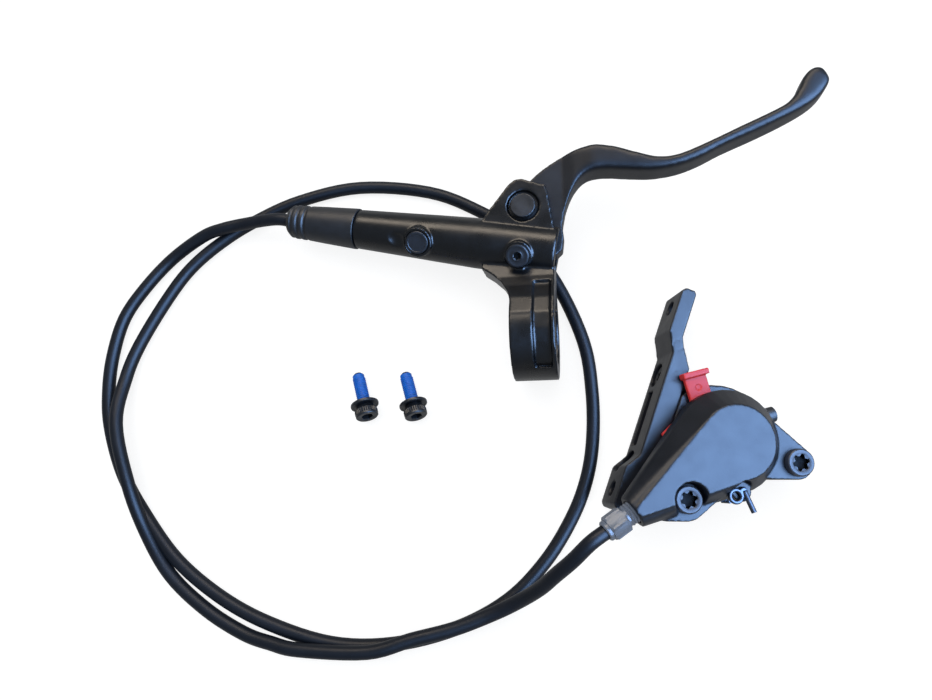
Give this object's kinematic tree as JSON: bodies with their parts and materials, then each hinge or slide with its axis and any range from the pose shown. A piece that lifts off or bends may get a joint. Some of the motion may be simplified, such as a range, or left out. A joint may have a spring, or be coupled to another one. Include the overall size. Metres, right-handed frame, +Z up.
{
  "type": "hydraulic disc brake",
  "caption": "Bicycle hydraulic disc brake: flat-bar lever with master cylinder, hose, flat-mount caliper on an adapter plate and loose mounting bolts.",
  "frame": {"origin": "on the table, under the middle of the lever, caliper and loose bolts taken together without the hose", "axes": "+Z up from the table that the brake lies on; +X to the right of the picture, along the handlebar's line towards the blade's tip; +Y up the picture"},
  "size_m": [0.2806, 0.2048, 0.0391],
  "materials": {
    "gloss_black_paint": "glossy black paint",
    "black_anodised": "satin black anodising",
    "blackened_steel": "black oxide",
    "bronze": "sintered bronze",
    "spring_steel": "bright spring steel",
    "anodised_gold": "gold anodising",
    "seal_rubber": "matt black rubber",
    "black_screw": "black moulded plug",
    "boot_rubber": "matt black rubber",
    "plated_steel": "nickel plating",
    "brass": "bare brass",
    "hose_jacket": "semi-matt black nylon",
    "satin_caliper_paint": "satin black paint",
    "grey_bolt": "dark grey plating",
    "piston_ceramic": "pale resin",
    "pad_steel": "plain steel",
    "pad_resin": "resin lining",
    "red_plastic": "moulded red plastic",
    "blue_thread": "blue thread compound on black steel"
  },
  "bodies": {
    "brake": {"lever_body": "gloss_black_paint", "pivot_pin": "blackened_steel", "pivot_clip": "spring_steel", "return_spring": "spring_steel", "retaining_ring": "spring_steel", "bleed_screw": "black_screw", "bleed_o_ring": "seal_rubber", "reservoir_plug": "black_screw", "plug_seal": "seal_rubber", "clamp_bolt": "blackened_steel", "hose_boot": "boot_rubber", "lever_hose_nut": "plated_steel", "lever_olive": "brass", "lever_barb": "plated_steel", "hose": "hose_jacket", "caliper_hose_nut": "plated_steel", "caliper_olive": "brass", "caliper_barb": "plated_steel", "caliper_outer": "satin_caliper_paint", "caliper_inner": "satin_caliper_paint", "body_bolt_front": "grey_bolt", "body_bolt_rear": "grey_bolt", "passage_o_ring": "seal_rubber", "outer_piston_seal": "seal_rubber", "inner_piston_seal": "seal_rubber", "pad_spring": "spring_steel", "pad_axle": "spring_steel", "pad_spacer": "red_plastic", "adapter_plate": "satin_caliper_paint", "adapter_bolt_upper": "blackened_steel", "adapter_bolt_lower": "blackened_steel", "bleed_nipple": "plated_steel", "nipple_cap": "boot_rubber", "mounting_bolt_a": "blue_thread", "mounting_bolt_b": "blue_thread", "mounting_washer_a": "blackened_steel", "mounting_washer_b": "blackened_steel"},
    "lever": {"brake_lever": "black_anodised", "pivot_bushes": "bronze"},
    "master_piston": {"master_piston": "anodised_gold", "push_rod": "spring_steel", "primary_seal": "seal_rubber", "secondary_seal": "seal_rubber"},
    "outer_pad": {"outer_piston": "piston_ceramic", "outer_pad_plate": "pad_steel", "outer_pad_lining": "pad_resin"},
    "inner_pad": {"inner_piston": "piston_ceramic", "inner_pad_plate": "pad_steel", "inner_pad_lining": "pad_resin"}
  },
  "joints": [
    {"name": "lever_pivot", "type": "hinge", "parent": "brake", "child": "lever", "pos_m": [-0.00747, 0.03806, 0.02116], "axis": [0.0868, 0.0872, -0.9924], "range_deg": [0, 16]},
    {"name": "master_stroke", "type": "slide", "parent": "brake", "child": "master_piston", "axis": [-0.9793, 0.1901, -0.069], "range_m": [0, 0.0038], "deforming": ["return_spring"]},
    {"name": "outer_pad_stroke", "type": "slide", "parent": "brake", "child": "outer_pad", "axis": [-0.1627, 0.0608, -0.9848], "range_m": [0, 0.00035]},
    {"name": "inner_pad_stroke", "type": "slide", "parent": "brake", "child": "inner_pad", "axis": [0.1627, -0.0608, 0.9848], "range_m": [0, 0.00035]}
  ],
  "couplings": [
    {"joint": "master_stroke", "follows": "lever_pivot", "m_per_rad": 0.0135},
    {"joint": "outer_pad_stroke", "follows": "lever_pivot", "m_per_rad": 0.00125},
    {"joint": "inner_pad_stroke", "follows": "lever_pivot", "m_per_rad": 0.00125}
  ]
}
